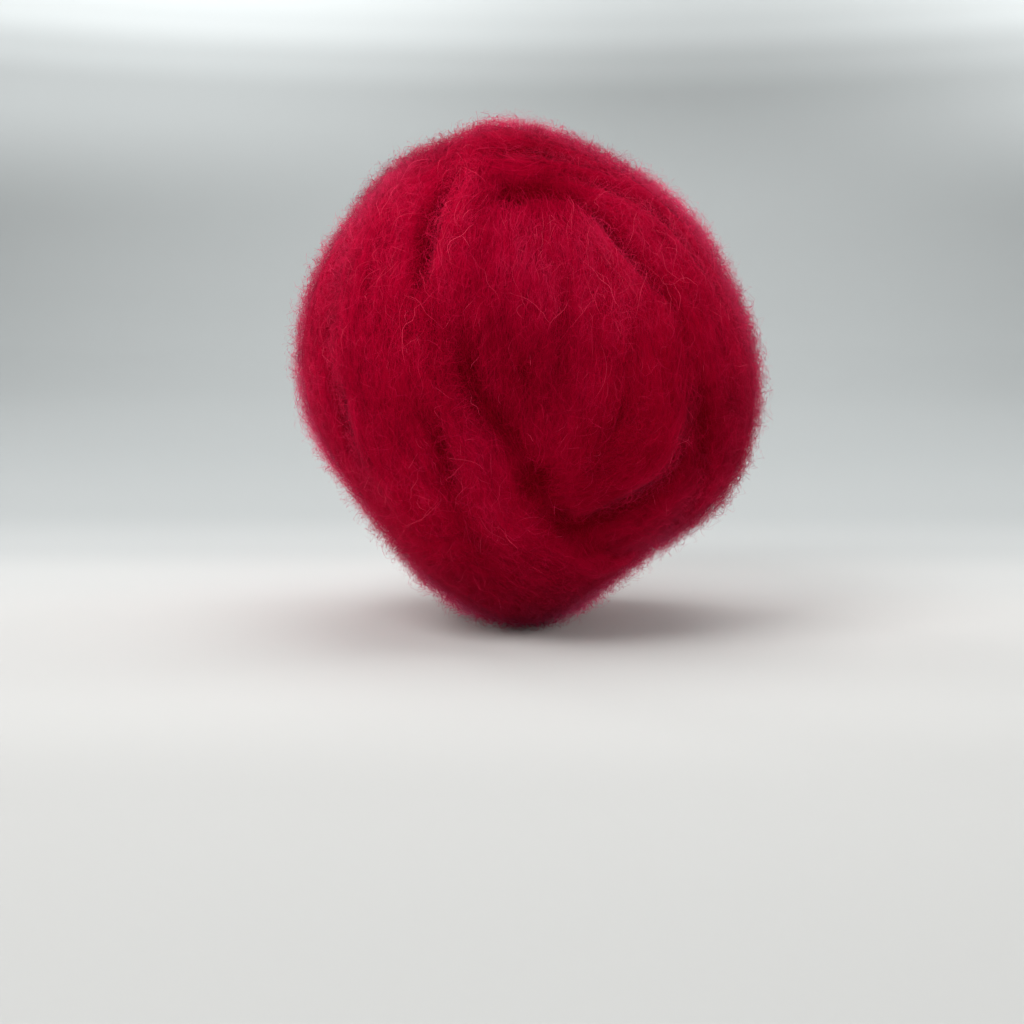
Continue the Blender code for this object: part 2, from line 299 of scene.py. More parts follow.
@lru_cache(maxsize=None)
def winding():
    """Every wrap as a band, the first windings before those on top of them."""
    bands = [
        lay_band(great_circle(WINDING_POLE, np.pi * number / UNDER_WRAPS), (UNDER_HALF_WIDTH,), UNDER_LIFT)
        for number in range(UNDER_WRAPS)
    ]
    for wrap in WRAPS:
        azimuths, elevations = zip(*wrap.route)
        bands.append(lay_band(heading(azimuths, elevations), wrap.half_widths, wrap.lift))
    return tuple(bands)


def band_profile(across, half_width, lift):
    """A flattened half ellipse: lift at its middle, EDGE_DROP lower at its edges, then a steep fall."""
    offset = np.abs(across) / half_width
    crown = np.sqrt(np.clip(1.0 - offset**PROFILE_POWER, 0.0, 1.0))
    beyond = np.clip(offset - 1.0, 0.0, None)
    return lift - EDGE_DROP * (1.0 - crown + SIDE_STEEPNESS * beyond)


def measure_on_band(spots, band):
    """How far each spot lies across the band and along it, and the band's half width there, in millimetres.

    Each is the mean over the route's points near the spot, weighted by a steep function of nearness. The
    distance along it is that of the nearest point, plus the part of the gap that runs along the route.
    """
    nearness = (spots @ band.route.T).astype(np.float32)
    nearest = nearness.argmax(axis=1)
    weight = np.exp((nearness - nearness.max(axis=1, keepdims=True)) * ROUTE_FOCUS)
    weight /= weight.sum(axis=1, keepdims=True)
    across = (weight * (spots @ band.sideways.T)).sum(axis=1) * RADIUS
    forward = np.cross(band.sideways, band.route)[nearest]
    along = band.arcs[nearest] + (spots * forward).sum(axis=1) * RADIUS
    return across, along, weight @ band.widths


def waves(across, along, table, seed):
    """Sum of plane waves: each row of the table gives a sine of the distance across the band.

    Its phase and its height each swing by a sine of the distance along the band.
    """
    chance = np.random.default_rng(seed)
    total = np.zeros_like(across)
    for row in table:
        first, second, third = chance.uniform(0.0, 2.0 * np.pi, 3)
        drift = WANDER * np.sin(2.0 * np.pi * along / row.along + first)
        swing = FADE_MEAN + FADE_SWING * np.sin(2.0 * np.pi * along / (row.along * FADE_LENGTH) + second)
        total += row.height * swing * np.sin(2.0 * np.pi * across / row.across + drift + third)
    return total


def crease_height(spots):
    """Sum of the creases: each is a row of bell-shaped dips or swells along its route, highest halfway."""
    total = np.zeros(len(spots))
    for crease in CREASES:
        azimuths, elevations = zip(*crease.route)
        route = open_route(heading(azimuths, elevations))
        spacing = np.linalg.norm(np.gradient(route, axis=0), axis=1)
        width = crease.width / RADIUS
        nearness = np.exp((spots @ route.T - 1.0) * 2.0 / width**2)
        fade = np.sin(np.linspace(0.0, np.pi, len(route)))
        total += crease.height * (nearness @ (spacing * fade)) / (width * np.sqrt(np.pi))
    return total


def bells(spots, table):
    """Sum of a table's rows, each a bell curve of the angle from its middle."""
    total = np.zeros(spots.shape[:-1])
    for row in table:
        middle = heading(row.azimuth, row.elevation)
        angle = np.degrees(np.arccos(np.clip(spots @ middle, -1.0, 1.0)))
        total += row.height * np.exp(-((angle / row.spread) ** 2))
    return total


def fibre_room(spots):
    """Depth of the fibres over the body: less and less towards the flat spot, by a bell curve."""
    angle = np.degrees(np.arccos(np.clip(-spots[..., 2], -1.0, 1.0)))
    return FIBRE_DEPTH * (1.0 - np.exp(-((angle / PRESSED_SPREAD) ** 2)))


CUBE_SIDES = (
    ((1, 0, 0), (0, 1, 0), (0, 0, 1)), ((-1, 0, 0), (0, 0, 1), (0, 1, 0)),
    ((0, 1, 0), (0, 0, 1), (1, 0, 0)), ((0, -1, 0), (1, 0, 0), (0, 0, 1)),
    ((0, 0, 1), (1, 0, 0), (0, 1, 0)), ((0, 0, -1), (0, 1, 0), (1, 0, 0)),
)


def cube_sphere(cuts):
    """Six square grids bent over the sphere and joined at their edges.

    A grid line lies at the tangent of its share of 45 degrees, so that the squares are nearly equal. Gives
    the unit vectors, the corners of the squares, and for each point of the six grids its vector.
    """
    steps = np.arange(cuts + 1)
    first, second = np.meshgrid(steps, steps, indexing="ij")
    whole = np.stack([
        np.array(face)[None, None, :] * cuts
        + (2 * first - cuts)[..., None] * np.array(side)
        + (2 * second - cuts)[..., None] * np.array(rise)
        for face, side, rise in CUBE_SIDES
    ])
    code = (whole + cuts) @ np.array((1, 4 * cuts, 16 * cuts * cuts))
    _, chosen, grid = np.unique(code.ravel(), return_index=True, return_inverse=True)
    grid = grid.reshape(code.shape)
    spots = unit(np.tan(whole.reshape(-1, 3)[chosen] / cuts * np.pi / 4.0))
    quads = np.stack((grid[:, :-1, :-1], grid[:, 1:, :-1], grid[:, 1:, 1:], grid[:, :-1, 1:]), axis=-1)
    return spots, quads.reshape(-1, 4), grid


def read_grid(values, grid, spots):
    """Values at any directions, between the four nearest points of the cube's grid."""
    cuts = grid.shape[1] - 1
    faces = np.array([side[0] for side in CUBE_SIDES], float)
    sides = np.array([side[1] for side in CUBE_SIDES], float)
    rises = np.array([side[2] for side in CUBE_SIDES], float)
    face = (spots @ faces.T).argmax(axis=-1)
    ahead = (spots * faces[face]).sum(axis=-1)
    first = (np.arctan((spots * sides[face]).sum(axis=-1) / ahead) * 4.0 / np.pi + 1.0) * cuts / 2.0
    second = (np.arctan((spots * rises[face]).sum(axis=-1) / ahead) * 4.0 / np.pi + 1.0) * cuts / 2.0
    row = np.clip(first.astype(int), 0, cuts - 1)
    column = np.clip(second.astype(int), 0, cuts - 1)
    down = first - row
    over = second - column
    if values.ndim > 1:
        down = down[..., None]
        over = over[..., None]
    near = values[grid[face, row, column]] * (1 - over) + values[grid[face, row, column + 1]] * over
    far = values[grid[face, row + 1, column]] * (1 - over) + values[grid[face, row + 1, column + 1]] * over
    return near * (1 - down) + far * down


def spread_evenly(values, quads, rounds):
    """Values after each point has been averaged with its neighbours many times."""
    ends = np.concatenate([quads[:, (corner, (corner + 1) % 4)] for corner in range(4)])
    number = np.bincount(ends[:, 0], minlength=len(values))
    for _ in range(rounds):
        total = np.bincount(ends[:, 0], weights=values[ends[:, 1]], minlength=len(values))
        values = 0.5 * values + 0.5 * total / number
    return values


def point_normals(points, quads):
    """Each point's outward normal: the sum of its faces' normals, each as long as the face is large."""
    corners = points[quads]
    faces = np.cross(corners[:, 2] - corners[:, 0], corners[:, 3] - corners[:, 1])
    total = np.stack([
        np.bincount(quads.ravel(), weights=np.repeat(faces[:, axis], 4), minlength=len(points))
        for axis in range(3)
    ], axis=-1)
    return unit(total)


@lru_cache(maxsize=None)
def skin():
    """The body's surface: its points in millimetres from the winding's middle, and what lies where on it.

    The relief is a soft maximum over the wraps' cross-sections, to which the creases and swells are added to
    give the height. The top is the plain maximum, and the layers are the number of wraps that come within
    LAYER_DEPTH of it. The furrow is how far a point lies below the average of its surroundings. The owner is
    the highest wrap, and the distances across and along are kept for every wrap.
    """
    spots, quads, grid = cube_sphere(CUTS_ALONG_EDGE)
    heights = []
    across = []
    along = []
    for number, band in enumerate(winding()):
        sideways, forward, half_width = measure_on_band(spots, band)
        strands = waves(sideways, forward, STRANDS, SEED + number)
        lumps = waves(sideways, forward, LUMPS, SEED + LUMP_SEED + number)
        heights.append(band_profile(sideways, half_width, band.lift) + strands + lumps)
        across.append(sideways)
        along.append(forward)
    heights = np.array(heights)
    top = heights.max(axis=0)
    relief = top + BLEND * np.log(np.exp((heights - top) / BLEND).sum(axis=0))
    layers = (heights > top - LAYER_DEPTH).sum(axis=0)
    height = relief + crease_height(spots) + bells(spots, SWELLS)
    points = spots * AXES * (1.0 + (height - fibre_room(spots)) / RADIUS)[:, None]
    furrow = (spread_evenly(height, quads, FURROW_SPREAD) - height) / FURROW_DEPTH
    return Skin(
        quads, points, point_normals(points, quads), top, layers, height, np.clip(furrow, *FURROW_LIMITS),
        heights.argmax(axis=0), np.array(across), np.array(along), grid)


@lru_cache(maxsize=None)
def winding_middle():
    """Where the winding's middle lies in the frame, in millimetres: over the middle of the solid's box."""
    points = skin().points
    middle = (CAD_LOW + CAD_HIGH) / 2.0 / MM
    own = (points.min(axis=0) + points.max(axis=0)) / 2.0
    return np.array((middle[0] - own[0], middle[1] - own[1], FLAT_DROP))


def in_frame(points):
    """Points in millimetres from the winding's middle, as metres in the frame and never below the floor."""
    placed = (points + winding_middle()) * MM
    placed[..., 2] = np.maximum(placed[..., 2], CAD_LOW[2])
    return placed


def build_mesh(name, points, quads, material):
    """A smooth mesh object of four-cornered faces, in the scene's collection."""
    mesh = bpy.data.meshes.new(name)
    mesh.vertices.add(len(points))
    mesh.vertices.foreach_set("co", points.astype(np.float32).ravel())
    mesh.loops.add(quads.size)
    mesh.polygons.add(len(quads))
    mesh.polygons.foreach_set("loop_start", np.arange(0, quads.size, 4, dtype=np.int32))
    mesh.polygons.foreach_set("vertices", quads.astype(np.int32).ravel())
    mesh.update(calc_edges=True)
    mesh.validate()
    mesh.shade_smooth()
    mesh.materials.append(material)
    thing = bpy.data.objects.new(name, mesh)
    bpy.context.scene.collection.objects.link(thing)
    return thing


def add_map(thing, name, places):
    """A UV map with one place for each corner of each face."""
    layer = thing.data.uv_layers.new(name=name)
    layer.data.foreach_set("uv", places.astype(np.float32).ravel())


def add_values(thing, name, values):
    """A number for each point of the mesh, for its material to read."""
    attribute = thing.data.attributes.new(name, "FLOAT", "POINT")
    attribute.data.foreach_set("value", values.astype(np.float32))


def attach(thing):
    """The piece belongs to the ball."""
    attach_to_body(thing, "root")


# Fibres. Lengths and widths are in millimetres and angles in radians. A fibre lies along its wrap at a slant,
# its heading swings by waves and turns by a bend over its length, and it rises between its ends, which are
# tucked in, or to its free end. A pair is a range, but for shade, which is a base and the mean of what chance
# adds to it. Bridge is the share by which a fibre spans the furrows and is lit as the whole ball is.
Coat = namedtuple("Coat", (
    "name", "count", "length", "half_width", "segments", "slant", "waves", "wave_length", "bend", "rise",
    "tuck", "free", "bridge", "shade", "tilt", "seed"))
COMBED = (
    Coat("combed_fibres_low", 9000, (5.0, 10.0), 0.060, 6, 0.20, 0.30, (3.0, 7.0), 0.6, (0.00, 0.50), 0.15,
         False, 0.0, (0.44, 0.02), 0.7, 1),
    Coat("combed_fibres_high", 12400, (3.5, 8.0), 0.036, 8, 0.30, 0.35, (2.5, 6.0), 0.9, (0.40, 1.40), 0.15,
         False, 0.0, (0.43, 0.05), 0.7, 2),
)
FUZZ = (
    Coat("fuzz_low", 24000, (2.4, 5.5), 0.027, 4, 0.7, 0.4, (2.0, 5.0), 1.8, (0.7, 1.8), 0.20,
         False, 0.5, (0.42, 0.03), 0.9, 3),
    Coat("fuzz_high", 19500, (2.8, 6.5), 0.024, 5, 0.9, 0.4, (2.0, 5.0), 2.0, (1.2, 2.7), 0.20,
         False, 0.7, (0.40, 0.04), 1.0, 4),
    # Stray ends are paler: painted light for the pale rim where light passes through them
    Coat("stray_ends", 19500, (2.4, 5.6), 0.018, 4, 1.2, 0.4, (2.0, 5.0), 1.6, (1.3, 3.6), 0.10,
         True, 0.7, (0.55, 0.07), 1.3, 6),
)
# Loose fibres: their paler shades reach the painted highlight colour and stand for glints on single fibres
LOOSE = (
    Coat("loose_curls", 1300, (4.0, 13.0), 0.027, 13, 0.6, 0.22, (4.0, 12.0), 1.3, (1.6, 2.6), 0.25,
         False, 0.8, (0.50, 0.08), 1.3, 5),
    Coat("short_hairs", 4500, (1.3, 3.8), 0.026, 3, 0.5, 0.15, (3.0, 8.0), 0.5, (1.4, 2.6), 0.15,
         True, 0.8, (0.50, 0.12), 1.2, 7),
)

# For each fibre that is kept, so many are tried.
CANDIDATES = 4

# The two waves of a fibre's heading, as shares of its wave length, and the skew of the rises towards low
# ones. A fibre's arch is a power of half a sine, with a flutter that is a share of its rise and turns by so
# many radians.
WAVE_PARTS = (1.0, 0.45)
RISE_SKEW = 1.3
ARCH_POWER = 0.6
FLUTTER = 0.25
FLUTTER_TURN = 5.0

# A fibre sinks by as much as its own wrap lies more than this below the highest one, in millimetres
COVER_SLACK = 0.3

# A ribbon's half width varies by a factor, and narrows to its ends by a share and a power
WIDTH_SPREAD = (0.75, 1.25)
NARROWING = 0.7
NARROW_POWER = 4

# Shades are from 0, deep, to 1, pale. The mottle has waves of these lengths in millimetres, each in so many
# directions, and the furrows, the height over the skin and the body's streaks change the shade by these. The
# furrows give painted shade, and painted light on the ridges. The height gives painted light on fibres that
# stand clear, for the light that passes through them. The streaks are the wool's own tone.
MOTTLES = (14.0, 10.0, 7.0, 5.0, 3.6)
MOTTLE_WAYS = 3
MOTTLE_SPREAD = (0.85, 1.2)
MOTTLE = 0.014
FURROW_PAINTED_SHADE = 0.26
CLEAR_PAINTED_LIGHT = 0.05
BODY_SHADE = 0.2
STREAK_SHADE = 0.4
SHADE_LIMITS = (0.02, 0.98)

# In the maps, a fibre's half width, and how far one wrap's streaks lie from the next one's
UV_HALF_WIDTH = 0.002
MAP_STEP = 40.0


def band_places(band, along, across):
    """Unit vectors at distances along and across a band, and its half width there.

    The route's point at that distance is turned sideways by the angle that the distance across stands for.
    """
    count = len(band.route)
    index = np.interp(np.mod(along, band.length), band.arcs, np.arange(count + 1))
    low = index.astype(int)
    share = index - low
    low = low % count
    after = (low + 1) % count
    middle = band.route[low] * (1 - share)[..., None] + band.route[after] * share[..., None]
    sideways = band.sideways[low] * (1 - share)[..., None] + band.sideways[after] * share[..., None]
    half_width = band.widths[low] * (1 - share) + band.widths[after] * share
    turn = (across / RADIUS)[..., None]
    return unit(middle * np.cos(turn) + sideways * np.sin(turn)), half_width


def fibre_paths(coat, chance):
    """Flat paths in millimetres: the distances ahead and sideways of each fibre's points from its middle.

    The heading is the slant plus two sines of the distance run plus a steady bend, and the path is the sum of
    equal steps along it.
    """
    number = coat.count * CANDIDATES
    share = (np.arange(coat.segments) + 0.5) / coat.segments
    length = chance.uniform(*coat.length, (number, 1))
    run = share * length
    turn = chance.normal(0.0, coat.slant, (number, 1))
    turn = turn + chance.normal(0.0, coat.bend, (number, 1)) * (share - 0.5)
    for part in WAVE_PARTS:
        wave = chance.uniform(*coat.wave_length, (number, 1)) * part
        phase = chance.uniform(0.0, 2.0 * np.pi, (number, 1))
        size = np.abs(chance.normal(0.0, coat.waves, (number, 1)))
        turn = turn + size * np.sin(2.0 * np.pi * run / wave + phase)
    step = length / coat.segments
    start = np.zeros((number, 1))
    ahead = np.concatenate((start, np.cumsum(np.cos(turn) * step, axis=1)), axis=1)
    aside = np.concatenate((start, np.cumsum(np.sin(turn) * step, axis=1)), axis=1)
    middle = coat.segments // 2
    return ahead - ahead[:, middle:middle + 1], aside - aside[:, middle:middle + 1]


def mottle_and_painted_light(points):
    """Lighter and darker wool: its own tone, and the broad patches of painted light and shade.

    The tone is plane waves through the ball in random directions.
    """
    chance = np.random.default_rng(SEED)
    total = np.zeros(points.shape[:-1])
    for length in MOTTLES:
        for _ in range(MOTTLE_WAYS):
            way = unit(chance.normal(size=3)) * 2.0 * np.pi / (length * chance.uniform(*MOTTLE_SPREAD))
            total += np.sin(points @ way + chance.uniform(0.0, 2.0 * np.pi))
    return total * MOTTLE / np.sqrt(MOTTLE_WAYS / 2.0) + bells(unit(points / AXES), PAINTED_LIGHT_AND_SHADE)


def fibre_lifts(coat, chance, number):
    """Height of each fibre's points over the skin: a low arch or a rise to a free end, with a small flutter.

    The arch is a power of half a sine of the share run. The rise is 1 less the square of the share left.
    """
    share = np.arange(coat.segments + 1) / coat.segments
    low, high = coat.rise
    rise = low + (high - low) * chance.uniform(0.0, 1.0, (number, 1)) ** RISE_SKEW
    phase = chance.uniform(0.0, 2.0 * np.pi, (number, 1))
    arch = 1.0 - (1.0 - share) ** 2 if coat.free else np.sin(np.pi * share) ** ARCH_POWER
    flutter = FLUTTER * rise * np.sin(FLUTTER_TURN * share + phase) * arch
    return (rise + coat.tuck) * arch - coat.tuck + flutter


def lay_fibres(coat):
    """Points, outward directions and shades of a coat's fibres, in millimetres from the winding's middle.

    Fibres start at random places of all the wraps, more on a larger wrap. One whose middle another wrap
    covers is left out, and where several wraps are at the surface each keeps its share of the fibres. What
    runs on under another wrap sinks below it, but a bridging fibre spans the furrows instead. Of those left,
    the first that were drawn are kept. A fibre gets painted shade in a furrow and painted light where it
    stands clear.
    """
    chance = np.random.default_rng(SEED + coat.seed)
    surface = skin()
    bands = winding()
    size = np.array([band.length * band.widths.mean() for band in bands])
    number = coat.count * CANDIDATES
    which = chance.choice(len(bands), number, p=size / size.sum())
    ahead, aside = fibre_paths(coat, chance)
    lifts = fibre_lifts(coat, chance, number)
    start = chance.uniform(0.0, 1.0, (number, 1))
    place = chance.uniform(-1.0, 1.0, (number, 1))
    toward = chance.choice((-1.0, 1.0), (number, 1))
    lot = chance.uniform(0.0, 1.0, number)
    facts = np.column_stack((surface.top, surface.layers, surface.height, surface.furrow, surface.normals))
    middle = coat.segments // 2
    laid = []
    for serial, band in enumerate(bands):
        mine = np.flatnonzero(which == serial)
        along = start[mine] * band.length + ahead[mine] * toward[mine]
        _, here = band_places(band, along[:, middle], 0.0 * along[:, 0])
        across = place[mine] * here[:, None] + aside[mine]
        spots, half_width = band_places(band, along, across)
        own = band_profile(across, half_width, band.lift)
        found = read_grid(facts, surface.grid, spots)
        top, layers, height, furrow = (found[..., column] for column in range(4))
        normal = unit(found[..., 4:])
        if coat.bridge:
            base = height + coat.bridge * FURROW_DEPTH * np.clip(furrow, 0.0, 1.0)
            lit = unit(normal * (1.0 - coat.bridge) + unit(spots / AXES) * coat.bridge)
        else:
            base = height - np.clip(top - own - COVER_SLACK, 0.0, None)
            lit = normal
        grown = 1.0 + (base - fibre_room(spots)) / RADIUS
        points = spots * AXES * grown[..., None] + normal * lifts[mine][..., None]
        shown = (own > top - LAYER_DEPTH)[:, middle] & (lot[mine] * layers[:, middle] < 1.0)
        laid.append([column[shown] for column in (points, lit, furrow, lifts[mine], mine)])
    *columns, kept = (np.concatenate(column) for column in zip(*laid))
    order = np.argsort(kept)[: coat.count]
    points, outward, furrow, lift = (column[order] for column in columns)
    shade = coat.shade[0] + chance.exponential(coat.shade[1], (len(order), 1))
    # Random tone, with painted shade in furrows and painted light on ridges and on fibres that stand clear
    shade = shade - FURROW_PAINTED_SHADE * furrow + CLEAR_PAINTED_LIGHT * lift + mottle_and_painted_light(points)
    return points, outward, np.clip(shade, *SHADE_LIMITS), chance


def make_fibres(coat, material):
    """One mesh of flat ribbons along the paths: each leans a little to one side and narrows at its ends."""
    points, outward, shade, chance = lay_fibres(coat)
    number, rows = points.shape[:2]
    share = np.arange(rows) / (rows - 1)
    tangent = unit(np.gradient(points, axis=1))
    sideways = unit(np.cross(outward, tangent))
    tilt = chance.uniform(-1.0, 1.0, (number, 1, 1)) * coat.tilt
    sideways = sideways * np.cos(tilt) + outward * np.sin(tilt)
    narrow = 1.0 - NARROWING * np.abs(2.0 * share - 1.0) ** NARROW_POWER
    half = (coat.half_width * narrow * chance.uniform(*WIDTH_SPREAD, (number, 1)))[..., None]
    corners = np.stack((points + sideways * half, points - sideways * half), axis=2)
    index = np.arange(number * rows * 2).reshape(number, rows, 2)
    quads = np.stack((index[:, :-1, 0], index[:, :-1, 1], index[:, 1:, 1], index[:, 1:, 0]), axis=-1)
    places = np.empty((number, rows, 2, 2))
    places[..., 0] = shade[..., None] + np.array((UV_HALF_WIDTH, -UV_HALF_WIDTH))
    places[..., 1] = share[None, :, None]
    thing = build_mesh(coat.name, in_frame(corners).reshape(-1, 3), quads.reshape(-1, 4), material)
    add_map(thing, "OFBake", places.reshape(-1, 2)[quads.reshape(-1)])
    normals = np.repeat(outward[:, :, None, :], 2, axis=2)
    thing.data.normals_split_custom_set_from_vertices(normals.reshape(-1, 3))
    return thing


def make_coats(coats, material):
    """A piece of the ball for each coat."""
    for coat in coats:
        attach(make_fibres(coat, material))


# The wool's finish: how widely its sheen spreads, the body's streaks as cycles for each millimetre across and
# along a wrap, and their depth in metres
SHEEN_ROUGHNESS = 0.35
STREAK_SCALE = (2.2, 0.16, 1.0)
STREAK_DEPTH = 0.0002


def fill(tree, node, inputs):
    """Give a node's inputs their numbers, colours or links."""
    for name, value in inputs.items():
        if isinstance(value, bpy.types.NodeSocket):
            tree.links.new(value, node.inputs[name])
        else:
            node.inputs[name].default_value = value


def add_node(tree, kind, inputs=None, **settings):
    """A shader node with its settings, and what goes into its inputs."""
    node = tree.nodes.new(f"ShaderNode{kind}")
    for name, value in settings.items():
        setattr(node, name, value)
    fill(tree, node, inputs or {})
    return node


def math_node(tree, operation, *values):
    """The result of a maths node with numbers or links for its values."""
    return add_node(tree, "Math", dict(enumerate(values)), operation=operation).outputs["Value"]


def new_material(name):
    """A material with its tree and its shader."""
    material = bpy.data.materials.new(name)
    material.use_nodes = True
    return material, material.node_tree, material.node_tree.nodes["Principled BSDF"]


def new_group(name, sockets):
    """An empty shader node group with named sockets: name, in or out, kind, default."""
    group = bpy.data.node_groups.new(name, "ShaderNodeTree")
    for label, way, kind, default in sockets:
        socket = group.interface.new_socket(name=label, in_out=way, socket_type=kind)
        if default is not None:
            socket.default_value = default
    return group, group.nodes.new("NodeGroupInput"), group.nodes.new("NodeGroupOutput")


def dye_and_painted_shade_group():
    """Colour of the wool by its shade: deep at 0, the dye itself at one half, pale at 1.

    The shade carries the wool's tone and the painted light and shade.
    """
    group, given, result = new_group("wool_dye", (
        ("Shade", "INPUT", "NodeSocketFloat", 0.5),
        ("Deep", "INPUT", "NodeSocketColor", (0.1, 0.001, 0.01, 1.0)),
        ("Dye", "INPUT", "NodeSocketColor", (0.4, 0.002, 0.03, 1.0)),
        ("Pale", "INPUT", "NodeSocketColor", (0.6, 0.05, 0.1, 1.0)),
        ("Colour", "OUTPUT", "NodeSocketColor", None),
    ))
    mixed = given.outputs["Deep"]
    for colour, start in (("Dye", 0.0), ("Pale", 0.5)):
        share = add_node(group, "MapRange", {
            "Value": given.outputs["Shade"], "From Min": start, "From Max": start + 0.5})
        mix = add_node(group, "Mix", {
            "Factor": share.outputs["Result"], "A": mixed, "B": given.outputs[colour]}, data_type="RGBA")
        mixed = mix.outputs["Result"]
    fill(group, result, {"Colour": mixed})
    return group


def wool_material(name, sheen, pale, settings):
    """A material whose constants sit on the shader's own sockets, with the dye's group, which carries the
    painted light and shade, for its colour.
    """
    material, tree, shader = new_material(name)
    dye = add_node(tree, "Group", {
        "Deep": (*settings.deep_colour, 1.0),
        "Dye": (*settings.dye_colour, 1.0),
        "Pale": (*pale, 1.0),
    }, node_tree=bpy.data.node_groups.get("wool_dye") or dye_and_painted_shade_group())
    fill(tree, shader, {
        "Base Color": dye.outputs["Colour"],
        "Roughness": settings.roughness,
        "Specular IOR Level": settings.gloss,
        "Sheen Weight": sheen,
        "Sheen Roughness": SHEEN_ROUGHNESS,
        "Sheen Tint": (*settings.sheen_colour, 1.0),
    })
    return material, tree, shader, dye


def body_material(settings):
    """Packed wool: streaks along the flow in colour and relief, with painted shade in the furrows."""
    material, tree, shader, dye = wool_material(
        "packed_wool", settings.deep_sheen, settings.pale_colour, settings)
    flow = add_node(tree, "UVMap", uv_map="Flow")
    stretch = add_node(tree, "Mapping", {"Vector": flow.outputs["UV"], "Scale": STREAK_SCALE})
    streaks = add_node(tree, "TexNoise", {
        "Vector": stretch.outputs["Vector"], "Scale": 1.0, "Detail": 3.0, "Distortion": 0.6})
    # The shade holds painted shade in furrows, painted light on ridges, tone and painted patches
    patches = add_node(tree, "Attribute", attribute_name="shade")
    shade = math_node(
        tree, "MULTIPLY_ADD", streaks.outputs["Fac"], STREAK_SHADE, patches.outputs["Fac"])
    bump = add_node(tree, "Bump", {
        "Height": streaks.outputs["Fac"], "Distance": STREAK_DEPTH, "Strength": 0.7})
    fill(tree, dye, {"Shade": shade})
    fill(tree, shader, {"Normal": bump.outputs["Normal"]})
    return material


def outward_group():
    """The mesh's own normal: the renderer's normal times 1 - 2 * behind, where behind is 0 or 1."""
    group, given, result = new_group("outward_normal", (
        ("Behind", "INPUT", "NodeSocketFloat", 0.0),
        ("Normal", "OUTPUT", "NodeSocketVector", None),
    ))
    surface = add_node(group, "NewGeometry")
    sign = math_node(group, "MULTIPLY_ADD", given.outputs["Behind"], -2.0, 1.0)
    turned = add_node(group, "VectorMath", {0: surface.outputs["Normal"], "Scale": sign}, operation="SCALE")
    fill(group, result, {"Normal": turned.outputs["Vector"]})
    return group


def fibre_material(name, sheen, pale, settings):
    """Single fibres: each has its own shade, in its map's first coordinate, and is lit by its own normals."""
    material, tree, shader, dye = wool_material(name, sheen, pale, settings)
    surface = add_node(tree, "NewGeometry")
    outward = add_node(tree, "Group", {"Behind": surface.outputs["Backfacing"]},
                       node_tree=bpy.data.node_groups.get("outward_normal") or outward_group())
    own = add_node(tree, "UVMap", uv_map="OFBake")
    parts = add_node(tree, "SeparateXYZ", {"Vector": own.outputs["UV"]})
    fill(tree, dye, {"Shade": parts.outputs["X"]})
    fill(tree, shader, {"Normal": outward.outputs["Normal"]})
    return material


class WoolSettings(bpy.types.PropertyGroup):
    """The dye, the ends of its shades that carry painted light and shade, and the wool's sheen."""

    dye_colour: FloatVectorProperty(
        name="Dye", description="The wool's own colour", subtype="COLOR", default=(0.44, 0.0009, 0.025),
        min=0, max=1)
    # The dark end of the shades: painted shade in furrows and patches, and the body under the fibres
    deep_colour: FloatVectorProperty(
        name="Deep", description="Wool that lies deep or is packed tight", subtype="COLOR",
        default=(0.19, 0.0002, 0.006), min=0, max=1)
    # The pale end of the shades: painted light on ridges, clear fibres and patches, and random tone
    pale_colour: FloatVectorProperty(
        name="Pale", description="Single fibres that stand clear", subtype="COLOR",
        default=(0.80, 0.020, 0.092), min=0, max=1)
    # Painted highlights: the pale end of the shades on the loose single fibres
    painted_highlight_colour: FloatVectorProperty(
        name="Bright", description="Loose single fibres that catch the light", subtype="COLOR",
        default=(0.88, 0.052, 0.12), min=0, max=1)
    sheen_colour: FloatVectorProperty(
        name="Sheen colour", description="Tint of the soft light at grazing angles", subtype="COLOR",
        default=(1.0, 0.13, 0.30), min=0, max=1)
    sheen: FloatProperty(
        name="Sheen", description="Strength of the soft light at grazing angles on the loose fibres",
        default=0.85, min=0, max=1)
    deep_sheen: FloatProperty(
        name="Deep sheen", description="The same on the wound wool under them", default=0.25, min=0, max=1)
    roughness: FloatProperty(name="Roughness", description="How matt the wool is", default=0.75, min=0, max=1)
    gloss: FloatProperty(name="Gloss", description="Mirror-like share of the wool", default=0.0, min=0, max=1)


class StudioSettings(bpy.types.PropertyGroup):
    """The room, its lights and its camera."""

    floor_tint: FloatVectorProperty(
        name="Floor tint", description="Tint of the paper in front", subtype="COLOR",
        default=(1.0, 0.99, 0.965), min=0, max=1)
    wall_tint: FloatVectorProperty(
        name="Wall tint", description="Tint of the paper behind", subtype="COLOR",
        default=(0.968, 1.0, 1.0), min=0, max=1)
    key_power: FloatProperty(
        name="Key light", description="Power of the light at the upper left", default=4.2, unit="POWER",
        min=0)
    top_power: FloatProperty(
        name="Top light", description="Power of the light overhead", default=3.7, unit="POWER", min=0)
    side_power: FloatProperty(
        name="Side lights", description="Power of each light beside the ball", default=0.72, unit="POWER",
        min=0)
    edge_power: FloatProperty(
        name="Edge light", description="Power of the light behind, at the left", default=0.012, unit="POWER",
        min=0)
    wall_power: FloatProperty(
        name="Wall light", description="Power of the light on the wall", default=2.35, unit="POWER", min=0)
    sky: FloatProperty(
        name="Sky", description="Strength of the even light from above", default=0.40, min=0)
    lens: FloatProperty(
        name="Lens", description="Focal length in millimetres", default=85.0, min=20)
    distance: FloatProperty(
        name="Distance", description="From the camera to the ball's middle", default=0.46, unit="LENGTH",
        min=0.1)
    rise: FloatProperty(
        name="Rise", description="Angle at which the camera looks down on the ball, in degrees", default=4.5)
    across_pixels: FloatProperty(
        name="Across", description="The ball's middle from the left, of 1024 pixels", default=528.0)
    down_pixels: FloatProperty(
        name="Down", description="The ball's middle from the top, of 1024 pixels", default=372.0)


